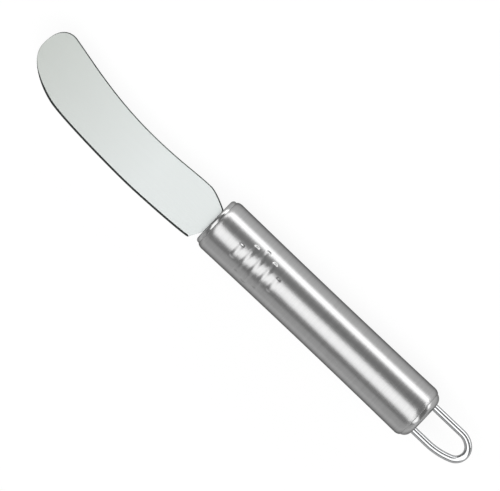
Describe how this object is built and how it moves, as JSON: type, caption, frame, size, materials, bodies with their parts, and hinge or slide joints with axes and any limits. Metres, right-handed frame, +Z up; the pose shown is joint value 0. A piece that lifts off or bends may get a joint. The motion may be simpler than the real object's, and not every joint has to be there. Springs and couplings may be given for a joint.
{
  "type": "butter knife",
  "caption": "All-metal spreading knife: a curved round-tipped blade in a waisted tube handle with raised grip ribs, capped ends and a bent wire hanging loop.",
  "frame": {"origin": "under the middle of the knife's overall length, on the surface that the round handle lies on", "axes": "+X along the handle's axis to the blade's tip, +Y to the spreading edge, +Z up, square to the blade's flats on the side that carries the grip ribs"},
  "size_m": [0.2001, 0.0248, 0.0206],
  "materials": {
    "blade_steel": "satin, finely ground stainless sheet",
    "tube_steel": "satin, brushed round the tube",
    "cap_steel": "satin face with a polished rim",
    "wire_steel": "polished wire",
    "weld_metal": "raw weld"
  },
  "bodies": {
    "root": {"blade": "blade_steel", "front_cap": "cap_steel", "handle_tube": "tube_steel", "rear_cap": "cap_steel", "hanging_loop": "wire_steel", "tang_weld": "weld_metal", "loop_welds": "weld_metal"}
  },
  "joints": []
}
